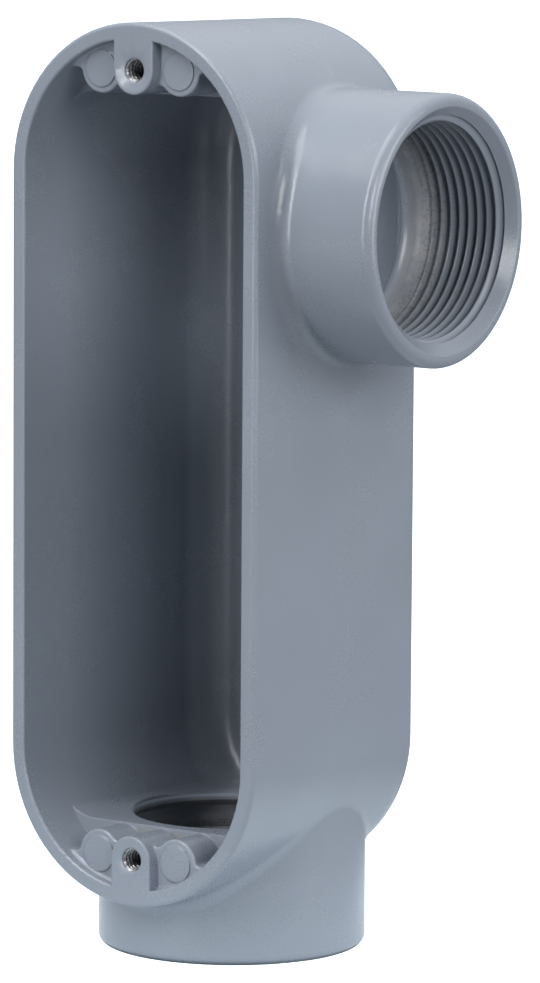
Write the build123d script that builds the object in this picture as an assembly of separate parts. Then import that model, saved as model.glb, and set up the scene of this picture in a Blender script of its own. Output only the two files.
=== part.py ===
from build123d import *
import os
from math import radians, tan

# A die-cast conduit body of the LR shape for 1-1/2 inch conduit, in millimetres.
# The origin is the centre of the bottom hub's end face. X points out of the side hub,
# Y runs from the cover opening to the back, and Z runs up the long axis.

# Housing: a long box with round ends, open at the front
body_width = 61.4
body_length = 178.6
body_draft = 1.1
rim_stand = 7.2
back_stand = 1.6
back_edge_radius = 11.0
rim_outer_round = 0.9
rim_inner_round = 0.35
wall = 3.3
back_wall = 3.3

# Cavity: full shape near the rim, then squared off by a solid floor and ceiling
pocket_depth = 10.8
end_thickness = 14.8
cavity_back_radius = 8.0
cavity_end_back_radius = 3.4
cavity_corner_radius = 10.0

# Cover screw ears and the sunken pads beside them, the same at both ends
screw_inset = 9.55
ear_radius = 4.9
pad_overlap = 0.2
pad_drop = 2.4
pad_top_gap = 0.25
pad_edge_round = 0.45
rib_valley_round = 2.0
shoulder_round = 1.2
shelf_corner_round = 0.9
pin_mark_margin = 1.25
pin_mark_height = 0.25
screw_hole_radius = 2.4
screw_hole_floor = 2.0
screw_mouth_chamfer = 0.25
drill_point_angle = 59.0

# Hubs: one out of the bottom end, one out of the right side near the top
hub_lip = 2.6
hub_end_round = 2.0
hub_root_fillet = 3.5
throat_to_ceiling = 5.4

# The bore of a hub, from its mouth inwards
countersink_depth = 1.3
thread_root_radius = 23.6
thread_height = 1.8
thread_length = 16.2
runout_length = 4.2
bottom_smooth_length = 3.6
side_smooth_length = 2.4
throat_step = 1.7
throat_lip = 1.9
throat_edge_round = 0.7

# Worked out from the thread and the sizes above: the bores and the hubs round them
mouth_radius = thread_root_radius + countersink_depth
smooth_radius = thread_root_radius - thread_height
throat_radius = smooth_radius - throat_step
hub_radius = mouth_radius + hub_lip
runout_end = countersink_depth + thread_length + runout_length
bottom_bore_depth = runout_end + bottom_smooth_length + throat_lip
side_bore_depth = runout_end + side_smooth_length + throat_lip
flare_radius = throat_radius + throat_edge_round

# Then the housing round the hubs, from the bottom up, and what stands in its ends
rim_reach = hub_radius + rim_stand
floor_z = bottom_bore_depth
bottom_z = floor_z - end_thickness
middle_z = bottom_z + body_length / 2
ceiling_z = bottom_z + body_length - end_thickness
inner_width = body_width - 2 * wall
inner_length = body_length - 2 * wall
rim_y = -rim_reach
body_depth = rim_reach + hub_radius + back_stand
cavity_depth = body_depth - back_wall
pocket_back_y = rim_y + pocket_depth
side_wall_x = inner_width / 2 - rim_reach * tan(radians(body_draft))
side_hub_z = ceiling_z - throat_to_ceiling - flare_radius
side_hub_reach = side_wall_x + side_bore_depth
bottom_screw_z = bottom_z + screw_inset
pad_radius = end_thickness - screw_inset - pad_top_gap
pad_offset = ear_radius + pad_radius - pad_overlap
drill_point = screw_hole_radius / tan(radians(drill_point_angle))
screw_hole_depth = rim_reach - smooth_radius - screw_hole_floor - drill_point
into_body = (0, 1, 0)
side_hub_place = Location((side_hub_reach, 0, side_hub_z), (0, -90, 0))


def plane_behind_rim(depth, height):
    """A plane parallel to the rim at a depth behind it, with its origin at a height."""
    return Plane(origin=(0, rim_y + depth, height), x_dir=(1, 0, 0), z_dir=(0, -1, 0))


def round_ended_block(length, width, depth):
    """A block with round ends that narrows towards the back by the casting's draft."""
    outline = plane_behind_rim(0, middle_z) * SlotOverall(length, width, rotation=90)
    return extrude(outline, amount=depth, dir=into_body, taper=body_draft)


def back_edges(block):
    return block.faces().sort_by(Axis.Y)[-1].edges()


def both_sides(shape, offset):
    return Pos(offset, 0) * shape + Pos(-offset, 0) * shape


def both_ends(bottom_part):
    return bottom_part + mirror(bottom_part, about=Plane.XY.offset(middle_z))


def housing_outside():
    block = round_ended_block(body_length, body_width, body_depth)
    return fillet(back_edges(block), back_edge_radius)


def hub_outside(length):
    """A plain round hub that stands on its mouth, with a rounded outer edge there."""
    post = Pos(0, 0, length / 2) * Cylinder(hub_radius, length)
    return fillet(post.edges().sort_by(Axis.Z)[0], hub_end_round)


def joined(body, hub):
    """The hub cast onto the body with a soft fillet all round its root."""
    whole = body + hub
    return fillet(new_edges(body, hub, combined=whole), hub_root_fillet)


def deep_cavity():
    """The space behind the pocket, squared off at both ends and rounded at the back."""
    core = round_ended_block(inner_length, inner_width, cavity_depth)
    core = fillet(back_edges(core), cavity_back_radius)
    depth = cavity_depth - pocket_depth
    limits = Pos(0, pocket_back_y + depth / 2, middle_z) * Box(inner_width, depth, ceiling_z - floor_z)
    limits = fillet(limits.edges().filter_by(Axis.Y), cavity_corner_radius)
    limits = fillet(back_edges(limits), cavity_end_back_radius)
    return core & limits


def pads():
    """The sunken shelf across the bottom end, with three round-topped ribs on it."""
    shelf = Pos(0, -screw_inset / 2) * Rectangle(body_width, screw_inset)
    outline = shelf + both_sides(Circle(pad_radius), pad_offset) + Circle(ear_radius)
    corners = outline.vertices().sort_by(lambda corner: abs(corner.X))
    outline = fillet(corners[2:4], shoulder_round)
    corners = outline.vertices().sort_by(lambda corner: abs(corner.X))
    outline = fillet(corners[:2], rib_valley_round)
    face = plane_behind_rim(pad_drop, bottom_screw_z) * outline
    block = extrude(face, amount=pocket_depth - pad_drop, dir=into_body)
    face_edges = block.faces().sort_by(Axis.Y)[0].edges()
    rib_tops = face_edges.filter_by(lambda edge: edge.center().Z > bottom_screw_z - pad_edge_round)
    return fillet(rib_tops, pad_edge_round)


def ear():
    """The tongue that stands level with the rim and takes a cover screw."""
    tongue = Circle(ear_radius) + Pos(0, -screw_inset / 2) * Rectangle(2 * ear_radius, screw_inset)
    face = plane_behind_rim(0, bottom_screw_z) * tongue
    return extrude(face, amount=pad_drop + pad_radius, dir=into_body)


def cavity_core():
    """All the space inside, less the shelves, ribs and ears that stand in its two ends."""
    pocket = round_ended_block(inner_length, inner_width, pocket_depth)
    shelves = both_ends(pads())
    space = pocket - shelves
    seams = new_edges(pocket, shelves, combined=space)
    shelf_corners = seams.filter_by(GeomType.BSPLINE)
    space = fillet(shelf_corners, shelf_corner_round)
    return space + deep_cavity() - both_ends(ear())


def pin_marks():
    """The raised round marks that ejector pins leave on the two pads of the bottom end."""
    face = plane_behind_rim(pad_drop - pin_mark_height, bottom_screw_z)
    marks = both_sides(Circle(pad_radius - pin_mark_margin), pad_offset)
    return extrude(face * marks, amount=2 * pin_mark_height, dir=into_body)


def hub_bore(depth):
    """The space in a hub: countersunk mouth, thread, run-out and smooth rounded throat."""
    lip_start = depth - throat_lip
    side = Polyline(
        (0, 0),
        (mouth_radius, 0),
        (thread_root_radius, countersink_depth),
        (thread_root_radius, countersink_depth + thread_length),
        (smooth_radius, runout_end),
        (smooth_radius, lip_start - throat_edge_round),
        (flare_radius, lip_start),
        (throat_radius, lip_start + throat_edge_round),
        (throat_radius, depth - throat_edge_round),
    )
    flare = RadiusArc(side @ 1, (flare_radius, depth), throat_edge_round)
    end = Polyline(flare @ 1, (flare_radius, depth + wall), (0, depth + wall), side @ 0)
    section = make_face(Plane.XZ * (side + flare + end))
    return revolve(section, Axis.Z)


def screw_hole():
    """A blind tapped hole in the face of the bottom ear, with its drill point."""
    outline = Polyline(
        (0, 0),
        (screw_hole_radius + screw_mouth_chamfer, 0),
        (screw_hole_radius, screw_mouth_chamfer),
        (screw_hole_radius, screw_hole_depth),
        (0, screw_hole_depth + drill_point),
        close=True,
    )
    hole = revolve(Plane.XZ * make_face(outline), Axis.Z)
    return Location((0, rim_y, bottom_screw_z), (-90, 0, 0)) * hole


# The casting: hubs joined to the housing, the cavity taken out, then the edges of the rim
casting = joined(housing_outside(), hub_outside(bottom_z + body_width / 2))
side_hub_length = side_bore_depth + back_edge_radius
casting = joined(casting, side_hub_place * hub_outside(side_hub_length))
casting -= cavity_core()
rim_edges = casting.faces().sort_by(Axis.Y)[0].inner_wires()[0].edges()
casting = fillet(rim_edges, rim_inner_round)
rim_edges = casting.faces().sort_by(Axis.Y)[0].outer_wire().edges()
casting = fillet(rim_edges, rim_outer_round)
casting += both_ends(pin_marks())

# The machining: both hub bores and the two tapped holes for the cover screws
casting -= hub_bore(bottom_bore_depth)
casting -= side_hub_place * hub_bore(side_bore_depth)
casting -= both_ends(screw_hole())

os.makedirs("parts", exist_ok=True)
export_step(casting, "parts/conduit_body.step")
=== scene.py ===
import math
import bmesh
import bpy
from mathutils import Matrix, Vector


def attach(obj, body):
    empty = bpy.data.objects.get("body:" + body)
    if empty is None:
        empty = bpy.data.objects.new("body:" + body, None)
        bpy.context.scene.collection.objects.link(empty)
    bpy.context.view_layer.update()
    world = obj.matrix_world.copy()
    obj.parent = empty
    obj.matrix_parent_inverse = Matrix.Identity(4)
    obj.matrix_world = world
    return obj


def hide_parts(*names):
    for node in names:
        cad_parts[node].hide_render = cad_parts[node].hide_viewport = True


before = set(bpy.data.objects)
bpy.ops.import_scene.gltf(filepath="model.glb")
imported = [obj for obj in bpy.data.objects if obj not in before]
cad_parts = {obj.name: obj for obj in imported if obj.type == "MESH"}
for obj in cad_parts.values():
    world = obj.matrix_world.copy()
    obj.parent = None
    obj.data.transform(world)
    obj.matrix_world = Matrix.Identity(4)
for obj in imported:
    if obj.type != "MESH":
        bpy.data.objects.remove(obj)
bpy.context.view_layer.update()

# A cast aluminium conduit body for 1-1/2 inch conduit, coated in bluish grey. It stands on the end of
# its bottom hub, with the open front towards the camera. Lengths are in metres, in the part's own frame.
photographed = bpy.context.scene


# The camera: well to the right of the front and a little above, far off with a long lens,
# so that the fitting's sides hardly converge.
turn, rise, lean = math.radians(36.112), math.radians(7.324), math.radians(0.366)
distance = 1.268365
moved_across, moved_down = 0.003229, 0.015851
towards_camera = Vector((math.sin(turn) * math.cos(rise), -math.cos(turn) * math.cos(rise), math.sin(rise)))
level = Vector((math.cos(turn), math.sin(turn), 0.0))
upright = towards_camera.cross(level)
across = level * math.cos(lean) + upright * math.sin(lean)
up = upright * math.cos(lean) - level * math.sin(lean)
looks_at = Vector((0.005, 0.0, 0.110)) + across * moved_across - up * moved_down
facing = Matrix((across, up, towards_camera)).transposed().to_4x4()
long_lens = bpy.data.cameras.new("long lens")
long_lens.sensor_width = 36.0
long_lens.lens = 227.45
long_lens.clip_start = 0.05
long_lens.clip_end = 60.0
camera = bpy.data.objects.new("camera", long_lens)
camera.matrix_world = Matrix.Translation(looks_at + towards_camera * distance) @ facing
photographed.collection.objects.link(camera)
photographed.camera = camera


# The table: one wide sheet of matt board, which runs so far back that it fills the picture. No lamp
# lies beneath it: its own material glows round the fitting, a painted glow that shines on the fitting's
# foot, and the camera sees the board overexposed, as plain white.
def sums_in(tree):
    """Gives work(kind, first, second), which puts one sum into this tree and returns its result."""
    def work(kind, first, second=0.0):
        sum_node = tree.nodes.new("ShaderNodeMath")
        sum_node.operation = kind
        for socket, value in zip(sum_node.inputs, (first, second)):
            if isinstance(value, float):
                socket.default_value = value
            else:
                tree.links.new(value, socket)
        return sum_node.outputs["Value"]

    return work


hub_radius = 0.0275
overexposure = 1.6
board_reach = 14.0
board = bpy.data.materials.new("pale board")
board.use_nodes = True
board_nodes, board_links = board.node_tree.nodes, board.node_tree.links
board_shader = board_nodes["Principled BSDF"]
board_shader.inputs["Base Color"].default_value = (0.20, 0.205, 0.215, 1.0)
board_shader.inputs["Roughness"].default_value = 0.9
board_shader.inputs["Specular IOR Level"].default_value = 0.1
board_shader.inputs["Emission Color"].default_value = (0.80, 0.92, 1.0, 1.0)
where = board_nodes.new("ShaderNodeTexCoord")
from_middle = board_nodes.new("ShaderNodeVectorMath")
from_middle.operation = "LENGTH"
board_links.new(where.outputs["Object"], from_middle.inputs[0])
painted_glow_falloff = board_nodes.new("ShaderNodeMapRange")
painted_glow_falloff.interpolation_type = "SMOOTHSTEP"
painted_glow_falloff.inputs["From Min"].default_value = 0.05
painted_glow_falloff.inputs["From Max"].default_value = 0.15
painted_glow_falloff.inputs["To Min"].default_value = 0.95
painted_glow_falloff.inputs["To Max"].default_value = 0.0
board_links.new(from_middle.outputs["Value"], painted_glow_falloff.inputs["Value"])
ray = board_nodes.new("ShaderNodeLightPath")
board_sum = sums_in(board.node_tree)
# Painted glow: round the hub the board's material glows, brightest near the fitting, and lights its foot as a
# lamp would
outside_hub = board_sum("GREATER_THAN", from_middle.outputs["Value"], hub_radius)
painted_glow_ring = board_sum("MULTIPLY", painted_glow_falloff.outputs["Result"], outside_hub)
as_seen = board_sum("MULTIPLY", ray.outputs["Is Camera Ray"], overexposure)
board_links.new(board_sum("MAXIMUM", as_seen, painted_glow_ring), board_shader.inputs["Emission Strength"])
board_mesh = bpy.data.meshes.new("table")
board_angles = [math.radians(degrees) for degrees in range(0, 360, 5)]
board_rim = [(board_reach * math.cos(angle), board_reach * math.sin(angle), 0.0) for angle in board_angles]
board_mesh.from_pydata(board_rim, [], [range(len(board_rim))])
board_mesh.materials.append(board)
table = bpy.data.objects.new("table", board_mesh)
photographed.collection.objects.link(table)


# The light: a white tent, open and dark on the camera's side, so little light reaches deep into the
# fitting. Soft lamps shine through its top and its right side, and two narrow ones through its opening.
tent = bpy.data.worlds.new("light tent")
tent.use_nodes = True
tent_nodes, tent_links = tent.node_tree.nodes, tent.node_tree.links
direction = tent_nodes.new("ShaderNodeTexCoord")
height_of_ray = tent_nodes.new("ShaderNodeSeparateXYZ")
tent_links.new(direction.outputs["Generated"], height_of_ray.inputs["Vector"])
tent_shade = tent_nodes.new("ShaderNodeValToRGB")
tent_shade.color_ramp.interpolation = "EASE"
tent_shade.color_ramp.elements[0].position = 0.0
tent_shade.color_ramp.elements[0].color = (0.30, 0.32, 0.36, 1.0)
tent_shade.color_ramp.elements[1].position = 0.75
tent_shade.color_ramp.elements[1].color = (1.0, 1.02, 1.05, 1.0)
tent_links.new(height_of_ray.outputs["Z"], tent_shade.inputs["Fac"])
to_opening = tent_nodes.new("ShaderNodeVectorMath")
to_opening.operation = "DOT_PRODUCT"
to_opening.inputs[1].default_value = (0.30, -0.95, 0.08)
tent_links.new(direction.outputs["Generated"], to_opening.inputs[0])
opening = tent_nodes.new("ShaderNodeMapRange")
opening.interpolation_type = "SMOOTHSTEP"
opening.inputs["From Min"].default_value = 0.15
opening.inputs["From Max"].default_value = 0.62
opening.inputs["To Min"].default_value = 1.15
opening.inputs["To Max"].default_value = 0.02
tent_links.new(to_opening.outputs["Value"], opening.inputs["Value"])
tent_links.new(tent_shade.outputs["Color"], tent_nodes["Background"].inputs["Color"])
tent_links.new(opening.outputs["Result"], tent_nodes["Background"].inputs["Strength"])
photographed.world = tent
photographed.view_settings.view_transform = "Standard"
middle_of_fitting = Vector((0.0, 0.0, 0.1))
for name, place, width, tall, power in (
    ("lamp over the top", (-0.15, -0.55, 1.35), 1.1, 1.1, 15.0),
    ("lamp behind right", (1.25, 0.50, 0.32), 0.8, 0.8, 10.5),
    ("lamp on the right", (1.20, -0.62, 0.60), 0.6, 0.6, 9.3),
    ("strip lamp in front", (-0.30, -1.25, 0.80), 0.18, 0.9, 11.5),
    ("low lamp in front", (-0.20, -1.30, 0.12), 0.15, 0.3, 3.0),
):
    soft_lamp = bpy.data.lights.new(name, "AREA")
    soft_lamp.shape = "RECTANGLE"
    soft_lamp.size = width
    soft_lamp.size_y = tall
    soft_lamp.energy = power
    lamp = bpy.data.objects.new(name, soft_lamp)
    lamp.location = place
    lamp.rotation_euler = (middle_of_fitting - Vector(place)).to_track_quat("-Z", "Y").to_euler()
    photographed.collection.objects.link(lamp)


# The casting: one piece of die-cast aluminium with both hubs, the ears and the pads, trimmed,
# bored and tapped, then coated all over in a bluish grey powder that is baked to a soft gloss.
rim_y = -0.0347
ear_heights = {"bottom": 0.02195, "top": 0.18145}
screw_hole_radius = 0.0024
dish_radius, dish_depth = 0.0043, 0.00055
side_hub_face, side_hub_height = 0.05273, 0.1500


def as_plain_mesh(thing):
    """What an object's modifiers make of it, as a mesh of its own."""
    return bpy.data.meshes.new_from_object(thing.evaluated_get(bpy.context.evaluated_depsgraph_get()))


def dish_tool(height):
    """The cutter of a shallow dish in an ear's face, round the mouth of the screw hole."""
    clear_of_face = -0.001
    outline = (
        (0.0, clear_of_face),
        (dish_radius, clear_of_face),
        (dish_radius, 0.0),
        (screw_hole_radius, dish_depth),
        (0.0, dish_depth),
    )
    spun = bmesh.new()
    section = [spun.verts.new((radius, 0.0, depth)) for radius, depth in outline]
    edges = [spun.edges.new(pair) for pair in zip(section, section[1:])]
    around = {"axis": (0, 0, 1), "cent": (0, 0, 0), "angle": math.tau}
    bmesh.ops.spin(spun, geom=section + edges, steps=72, use_merge=True, **around)
    bmesh.ops.remove_doubles(spun, verts=spun.verts, dist=1e-6)
    bmesh.ops.recalc_face_normals(spun, faces=spun.faces)
    tool_mesh = bpy.data.meshes.new("dish tool")
    spun.to_mesh(tool_mesh)
    spun.free()
    tool_mesh.transform(Matrix.Translation((0.0, rim_y, height)) @ Matrix.Rotation(math.radians(-90), 4, "X"))
    tool = bpy.data.objects.new("dish tool", tool_mesh)
    photographed.collection.objects.link(tool)
    return tool


def cut_casting(node_name, piece_name, tools):
    """A copy of a solid's mesh, joined up and cut by these tools, with its flats even in the light."""
    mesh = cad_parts[node_name].data.copy()
    shell = bmesh.new()
    shell.from_mesh(mesh)
    bmesh.ops.remove_doubles(shell, verts=shell.verts, dist=1e-6)
    shell.to_mesh(mesh)
    shell.free()
    if "custom_normal" in mesh.attributes:
        mesh.attributes.remove(mesh.attributes["custom_normal"])
    mesh.name = piece_name
    mesh.materials.clear()
    rough = bpy.data.objects.new(piece_name, mesh)
    photographed.collection.objects.link(rough)
    for tool in tools:
        cut = rough.modifiers.new("dish", "BOOLEAN")
        cut.operation = "DIFFERENCE"
        cut.solver = "EXACT"
        cut.object = tool
    shaped = as_plain_mesh(rough)
    shaped.shade_smooth()

    # An edge stays sharp where the surface turns by more than the steps that its rounds are drawn in
    round_step = math.radians(24)
    corners = bmesh.new()
    corners.from_mesh(shaped)
    for edge in corners.edges:
        edge.smooth = edge.calc_face_angle(0.0) < round_step
    corners.to_mesh(shaped)
    corners.free()
    rough.modifiers.clear()
    rough.data = shaped
    even = rough.modifiers.new("flats stay flat", "WEIGHTED_NORMAL")
    even.keep_sharp = True
    even.weight = 100
    finished = as_plain_mesh(rough)
    for helper in (rough, *tools):
        bpy.data.objects.remove(helper)
    finished.name = piece_name
    piece = bpy.data.objects.new(piece_name, finished)
    photographed.collection.objects.link(piece)
    return piece


def powder_coat(name, colour, edge_radius):
    """Baked powder over cast metal: fine grain, slow waves, and a paler tone along its edges that is partly a
    thinner coat and partly a painted highlight.
    """
    coat = bpy.data.materials.new(name)
    coat.use_nodes = True
    nodes, links = coat.node_tree.nodes, coat.node_tree.links
    shader = nodes["Principled BSDF"]
    place = nodes.new("ShaderNodeTexCoord")
    work = sums_in(coat.node_tree)

    def grain(size, detail, roughness=0.5):
        speckle = nodes.new("ShaderNodeTexNoise")
        speckle.inputs["Scale"].default_value = 1.0 / size
        speckle.inputs["Detail"].default_value = detail
        speckle.inputs["Roughness"].default_value = roughness
        links.new(place.outputs["Object"], speckle.inputs["Vector"])
        return speckle.outputs["Fac"]

    def spread(value, low, high, out_low, out_high):
        ranged = nodes.new("ShaderNodeMapRange")
        ranged.inputs["From Min"].default_value = low
        ranged.inputs["From Max"].default_value = high
        ranged.inputs["To Min"].default_value = out_low
        ranged.inputs["To Max"].default_value = out_high
        links.new(value, ranged.inputs["Value"])
        return ranged.outputs["Result"]

    def laid_over(under, over, share):
        mix = nodes.new("ShaderNodeMix")
        mix.data_type = "RGBA"
        for socket, value in ((mix.inputs[0], share), (mix.inputs[6], under), (mix.inputs[7], over)):
            if isinstance(value, tuple):
                socket.default_value = (*value, 1.0)
            else:
                links.new(value, socket)
        return mix.outputs[2]

    def relief(height, strength, distance, under):
        bump = nodes.new("ShaderNodeBump")
        bump.inputs["Strength"].default_value = strength
        bump.inputs["Distance"].default_value = distance
        links.new(height, bump.inputs["Height"])
        links.new(under, bump.inputs["Normal"])
        return bump.outputs["Normal"]

    # How far the surface turns within a small radius: nothing on a flat, more at an edge
    softened = nodes.new("ShaderNodeBevel")
    softened.samples = 4
    softened.inputs["Radius"].default_value = edge_radius
    surface = nodes.new("ShaderNodeNewGeometry")
    turned = nodes.new("ShaderNodeVectorMath")
    turned.operation = "DOT_PRODUCT"
    links.new(softened.outputs["Normal"], turned.inputs[0])
    links.new(surface.outputs["Normal"], turned.inputs[1])

    # Where the hubs were bored, out to just inside the edge of the mouth, and how deep a point lies
    at = nodes.new("ShaderNodeSeparateXYZ")
    links.new(place.outputs["Object"], at.inputs["Vector"])
    x, y, z = at.outputs["X"], at.outputs["Y"], at.outputs["Z"]
    bore_reach = 0.0247
    side_bore_end, foot_bore_end = 0.0285, 0.0265

    def near_axis(first, second):
        squares = work("ADD", work("POWER", first, 2.0), work("POWER", second, 2.0))
        return work("LESS_THAN", squares, bore_reach ** 2)

    from_side_axis = work("SUBTRACT", z, side_hub_height)
    in_side = work("MULTIPLY", near_axis(y, from_side_axis), work("GREATER_THAN", x, side_bore_end))
    in_foot = work("MULTIPLY", near_axis(x, y), work("LESS_THAN", z, foot_bore_end))
    machined = work("MAXIMUM", in_side, in_foot)
    as_cast = work("SUBTRACT", 1.0, machined)
    side_depth = work("MULTIPLY", in_side, work("SUBTRACT", side_hub_face, x))
    depth = work("ADD", side_depth, work("MULTIPLY", in_foot, z))
    past_thread = work("MULTIPLY", spread(depth, 0.0150, 0.0190, 0.0, 1.0), machined)
    torn_from = spread(depth, 0.0150, 0.0175, 0.0, 1.0)
    torn_to = spread(depth, 0.0205, 0.0235, 1.0, 0.0)
    torn = work("MULTIPLY", work("MULTIPLY", torn_from, torn_to), machined)
    rings_per_metre = 950.0
    rings = nodes.new("ShaderNodeTexNoise")
    rings.noise_dimensions = "1D"
    rings.inputs["Scale"].default_value = 1.0
    rings.inputs["Detail"].default_value = 2.0
    links.new(work("MULTIPLY", depth, rings_per_metre), rings.inputs["W"])

    # Colour of the coat: slow drifts of its thickness and a fine fleck
    drift = spread(grain(0.035, 2.0), 0.35, 0.65, 0.0, 1.0)
    fleck = spread(grain(0.00042, 3.0, 0.65), 0.30, 0.70, 0.0, 1.0)
    paleness = work("ADD", work("MULTIPLY", drift, 0.5), work("MULTIPLY", fleck, 0.25))
    # The palest of these tones goes along the edges below, partly as a thinner coat and partly as a painted
    # highlight
    deep_tone, pale_tone, thin_coat_and_highlight_tone = (tuple(c * share for c in colour) for share in (0.94, 1.05, 1.20))
    tone = laid_over(deep_tone, pale_tone, paleness)

    # In the bores past the thread: a duller ground, rings of smeared coat, and pits in the last turns
    dull_ground, smeared, pit = (0.13, 0.14, 0.155), (0.25, 0.25, 0.25), (0.09, 0.085, 0.08)
    smear = work("MULTIPLY", past_thread, spread(grain(0.005, 4.0), 0.38, 0.60, 0.0, 0.65))
    ringed = work("MULTIPLY", smear, spread(rings.outputs["Fac"], 0.38, 0.62, 0.15, 1.0))
    pits = work("MULTIPLY", torn, spread(grain(0.0007, 3.0), 0.50, 0.62, 0.0, 1.0))
    tone = laid_over(tone, dull_ground, work("MULTIPLY", past_thread, 0.6))
    tone = laid_over(tone, smeared, ringed)
    tone = laid_over(tone, pit, work("MULTIPLY", pits, 0.55))

    # Along the edges, convex and concave alike: a paler tone, partly a thinner coat and partly a painted
    # highlight,
    #  and here and there a chip down to the metal
    bare_metal = (0.52, 0.53, 0.54)
    edge = work("MULTIPLY", spread(turned.outputs["Value"], 0.995, 0.80, 0.0, 1.0), as_cast)
    thin_coat_and_highlight = work("MULTIPLY", edge, spread(grain(0.0035, 4.0), 0.35, 0.70, 0.15, 0.75))
    chips = spread(grain(0.0016, 3.0), 0.69, 0.71, 0.0, 1.0)
    chipped = work("MULTIPLY", spread(edge, 0.30, 0.50, 0.0, 1.0), chips)
    tone = laid_over(tone, thin_coat_and_highlight_tone, thin_coat_and_highlight)
    links.new(laid_over(tone, bare_metal, chipped), shader.inputs["Base Color"])

    # Gloss: it wanders slowly over the coat, and is dull past the thread
    slow_gloss = spread(grain(0.022, 3.0), 0.3, 0.7, 0.23, 0.29)
    gloss = work("ADD", slow_gloss, spread(fleck, 0.0, 1.0, -0.01, 0.015))
    links.new(work("ADD", gloss, work("MULTIPLY", past_thread, 0.16)), shader.inputs["Roughness"])
    shader.inputs["Specular IOR Level"].default_value = 0.5

    # Relief: the slow waves of the cast skin under the coat's orange peel, the tool's rings and torn
    # metal in the bores, and the faint line down both sides where the two halves of the die met
    side_wall_x, die_line_y = 0.0283, 0.0032
    on_side_wall = work("MULTIPLY", work("GREATER_THAN", work("ABSOLUTE", x), side_wall_x), as_cast)
    from_line = work("ABSOLUTE", work("SUBTRACT", y, die_line_y))
    die_line = work("MULTIPLY", spread(from_line, 0.00008, 0.00030, 1.0, 0.0), on_side_wall)
    turning = work("MULTIPLY", work("MULTIPLY", rings.outputs["Fac"], machined), 0.9)
    torn_metal = work("MULTIPLY", work("MULTIPLY", torn, grain(0.0005, 3.0)), 2.5)
    peel = work("ADD", work("MULTIPLY", grain(0.0014, 2.0), 0.6), work("MULTIPLY", grain(0.0006, 2.0), 0.15))
    marks = work("ADD", work("ADD", peel, turning), work("ADD", torn_metal, work("MULTIPLY", die_line, 0.8)))
    soft_outside_bores = nodes.new("ShaderNodeMix")
    soft_outside_bores.data_type = "VECTOR"
    links.new(machined, soft_outside_bores.inputs[0])
    links.new(softened.outputs["Normal"], soft_outside_bores.inputs[4])
    links.new(surface.outputs["Normal"], soft_outside_bores.inputs[5])
    waves = relief(grain(0.013, 2.0), 0.35, 0.0006, soft_outside_bores.outputs[1])
    links.new(relief(marks, 0.35, 0.00006, waves), shader.inputs["Normal"])
    return coat


coating = powder_coat("grey powder coat", (0.188, 0.213, 0.252), 0.0005)
casting = cut_casting("conduit_body", "casting", [dish_tool(height) for height in ear_heights.values()])
casting.data.materials.append(coating)
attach(casting, "root")
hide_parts("conduit_body")


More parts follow.
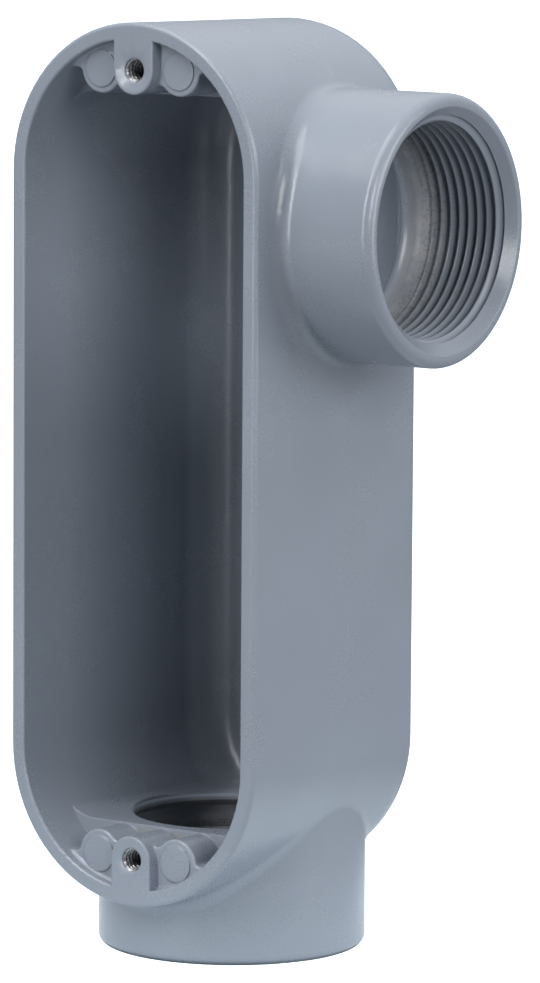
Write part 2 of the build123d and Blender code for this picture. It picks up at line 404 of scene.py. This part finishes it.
# The pipe threads: one in each hub, 11.5 turns to the inch, cut with a tap whose tapered nose leaves
# the last turns shallow. The metal between the cuts stands in from the bore as one winding ridge.
def cut_thread_tree():
    """A ridge that winds into a bore from its mouth at Z 0, cut off by the countersink there."""
    tree = bpy.data.node_groups.new("cut thread", "GeometryNodeTree")
    sockets = tree.interface
    for name in (
        "Pitch",
        "Turns",
        "Root radius",
        "Crest radius",
        "Crest width",
        "Mouth radius",
        "First depth",
    ):
        sockets.new_socket(name, in_out="INPUT", socket_type="NodeSocketFloat")
    sockets.new_socket("Steps per turn", in_out="INPUT", socket_type="NodeSocketInt")
    sockets.new_socket("Coating", in_out="INPUT", socket_type="NodeSocketMaterial")
    sockets.new_socket("Thread", in_out="OUTPUT", socket_type="NodeSocketGeometry")
    nodes, links = tree.nodes, tree.links
    given = nodes.new("NodeGroupInput").outputs
    work = sums_in(tree)

    # The ridge's section: as high as the cut is deep and a hair more, with sides at 30 degrees
    sunk = 0.00005
    slope = 2.0 * math.tan(math.radians(30.0))
    height = work("ADD", work("SUBTRACT", given["Root radius"], given["Crest radius"]), sunk)
    foot = work("ADD", given["Crest width"], work("MULTIPLY", height, slope))
    middle = work("SUBTRACT", work("ADD", given["Root radius"], sunk), work("MULTIPLY", height, 0.5))
    section = nodes.new("GeometryNodeCurvePrimitiveQuadrilateral")
    section.mode = "TRAPEZOID"
    section.inputs["Offset"].default_value = 0.0
    links.new(foot, section.inputs["Bottom Width"])
    links.new(given["Crest width"], section.inputs["Top Width"])
    links.new(height, section.inputs["Height"])
    worn = nodes.new("GeometryNodeFilletCurve")
    worn.mode = "POLY"
    worn.inputs["Count"].default_value = 2
    links.new(work("MULTIPLY", given["Crest width"], 0.45), worn.inputs["Radius"])
    links.new(section.outputs["Curve"], worn.inputs["Curve"])
    stepped = nodes.new("GeometryNodeResampleCurve")
    stepped.inputs["Count"].default_value = 56
    links.new(worn.outputs["Curve"], stepped.inputs["Curve"])
    inwards = nodes.new("GeometryNodeTransform")
    inwards.inputs["Rotation"].default_value = (0.0, 0.0, math.radians(90.0))
    links.new(stepped.outputs["Curve"], inwards.inputs["Geometry"])

    # The path that it follows: a right-hand helix
    helix = nodes.new("GeometryNodeCurveSpiral")
    links.new(given["Steps per turn"], helix.inputs["Resolution"])
    links.new(given["Turns"], helix.inputs["Rotations"])
    links.new(middle, helix.inputs["Start Radius"])
    links.new(middle, helix.inputs["End Radius"])
    links.new(work("MULTIPLY", given["Turns"], given["Pitch"]), helix.inputs["Height"])
    helix.inputs["Reverse"].default_value = True
    upright_path = nodes.new("GeometryNodeSetCurveNormal")
    upright_path.mode = "Z_UP"
    links.new(helix.outputs["Curve"], upright_path.inputs["Curve"])
    swept = nodes.new("GeometryNodeCurveToMesh")
    swept.inputs["Fill Caps"].default_value = True
    links.new(upright_path.outputs["Curve"], swept.inputs["Curve"])
    links.new(inwards.outputs["Geometry"], swept.inputs["Profile Curve"])

    # Down to its depth, then back to a hair behind the countersink's cone wherever it would stand out
    behind_mouth, behind_cone = 0.0001, 0.00001
    position = nodes.new("GeometryNodeInputPosition")
    parts = nodes.new("ShaderNodeSeparateXYZ")
    links.new(position.outputs["Position"], parts.inputs["Vector"])
    x, y, z = parts.outputs["X"], parts.outputs["Y"], parts.outputs["Z"]
    radius = work("SQRT", work("ADD", work("POWER", x, 2.0), work("POWER", y, 2.0)))
    depth = work("MAXIMUM", work("ADD", z, given["First depth"]), behind_mouth)
    cone = work("ADD", work("SUBTRACT", given["Mouth radius"], depth), behind_cone)
    outward = work("DIVIDE", work("MAXIMUM", radius, cone), radius)
    moved = nodes.new("ShaderNodeCombineXYZ")
    links.new(work("MULTIPLY", x, outward), moved.inputs["X"])
    links.new(work("MULTIPLY", y, outward), moved.inputs["Y"])
    links.new(depth, moved.inputs["Z"])
    placed = nodes.new("GeometryNodeSetPosition")
    links.new(swept.outputs["Mesh"], placed.inputs["Geometry"])
    links.new(moved.outputs["Vector"], placed.inputs["Position"])

    # Smooth along the turns, sharp at the crest
    sharp_angle = 0.5
    corner = nodes.new("GeometryNodeInputMeshEdgeAngle")
    rounded = nodes.new("GeometryNodeSetShadeSmooth")
    rounded.domain = "EDGE"
    links.new(placed.outputs["Geometry"], rounded.inputs["Geometry"])
    gentle = work("LESS_THAN", corner.outputs["Unsigned Angle"], sharp_angle)
    links.new(gentle, rounded.inputs["Shade Smooth"])
    real = nodes.new("GeometryNodeRealizeInstances")
    links.new(rounded.outputs["Geometry"], real.inputs["Geometry"])
    coated = nodes.new("GeometryNodeSetMaterial")
    links.new(real.outputs["Geometry"], coated.inputs["Geometry"])
    links.new(given["Coating"], coated.inputs["Material"])
    links.new(coated.outputs["Geometry"], nodes.new("NodeGroupOutput").inputs["Thread"])
    return tree


def thread_piece(name, sizes, start_turn, place):
    """A thread of these sizes as a plain mesh, turned to where it starts and put in its bore."""
    blank = bpy.data.objects.new(name, bpy.data.meshes.new(name))
    photographed.collection.objects.link(blank)
    cutter = blank.modifiers.new("cut thread", "NODES")
    cutter.node_group = thread_rule
    for item in thread_rule.interface.items_tree:
        if item.in_out == "INPUT":
            cutter[item.identifier] = sizes[item.name]
    finished = as_plain_mesh(blank)
    blank.modifiers.remove(cutter)
    finished.name = name
    finished.transform(place @ Matrix.Rotation(start_turn, 4, "Z"))
    blank.data = finished
    return blank


inch = 0.0254
thread_rule = cut_thread_tree()
pipe_thread = {
    "Pitch": inch / 11.5,
    "Turns": 9.5,
    "Root radius": 0.0236,
    "Crest radius": 0.0219,
    "Crest width": 0.00028,
    "Mouth radius": 0.0249,
    "First depth": 0.00015,
    "Steps per turn": 96,
    "Coating": coating,
}
thread_start = math.radians(-107.0)
bottom_mouth = Matrix.Identity(4)
outwards = Matrix.Rotation(math.radians(-90), 4, "Y")
side_mouth = Matrix.Translation((side_hub_face, 0.0, side_hub_height)) @ outwards
for name, place in (("thread_in_bottom_hub", bottom_mouth), ("thread_in_side_hub", side_mouth)):
    thread = thread_piece(name, pipe_thread, thread_start, place)
    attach(thread, "root")


# The screw threads: a number 10-24 thread in each ear for the cover's two screws. They are tapped
# after the coating is baked, so their turns are bare, bright aluminium.
def tapped_metal():
    """Aluminium fresh from a tap: bright, and darker and rougher where the chips tore it."""
    metal = bpy.data.materials.new("tapped aluminium")
    metal.use_nodes = True
    nodes, links = metal.node_tree.nodes, metal.node_tree.links
    shader = nodes["Principled BSDF"]
    shader.inputs["Metallic"].default_value = 1.0
    place = nodes.new("ShaderNodeTexCoord")
    torn = nodes.new("ShaderNodeTexNoise")
    torn.inputs["Scale"].default_value = 2600.0
    torn.inputs["Detail"].default_value = 4.0
    links.new(place.outputs["Object"], torn.inputs["Vector"])
    tone = nodes.new("ShaderNodeValToRGB")
    tone.color_ramp.elements[0].position = 0.36
    tone.color_ramp.elements[0].color = (0.09, 0.09, 0.095, 1.0)
    tone.color_ramp.elements[1].position = 0.58
    tone.color_ramp.elements[1].color = (0.38, 0.38, 0.39, 1.0)
    links.new(torn.outputs["Fac"], tone.inputs["Fac"])
    links.new(tone.outputs["Color"], shader.inputs["Base Color"])
    dull = nodes.new("ShaderNodeMapRange")
    dull.inputs["To Min"].default_value = 0.55
    dull.inputs["To Max"].default_value = 0.34
    links.new(torn.outputs["Fac"], dull.inputs["Value"])
    links.new(dull.outputs["Result"], shader.inputs["Roughness"])
    drag = nodes.new("ShaderNodeBump")
    drag.inputs["Strength"].default_value = 0.5
    drag.inputs["Distance"].default_value = 0.00003
    links.new(torn.outputs["Fac"], drag.inputs["Height"])
    links.new(drag.outputs["Normal"], shader.inputs["Normal"])
    return metal


screw_thread = {
    "Pitch": inch / 24,
    "Turns": 7.0,
    "Root radius": screw_hole_radius,
    "Crest radius": 0.0020,
    "Crest width": 0.00020,
    "Mouth radius": 0.0026,
    "First depth": 0.0001,
    "Steps per turn": 48,
    "Coating": tapped_metal(),
}
inwards = Matrix.Rotation(math.radians(-90), 4, "X")
for end, height in ear_heights.items():
    dish_floor = Matrix.Translation((0.0, rim_y + dish_depth, height)) @ inwards
    thread = thread_piece("thread_in_" + end + "_ear", screw_thread, 0.0, dish_floor)
    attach(thread, "root")
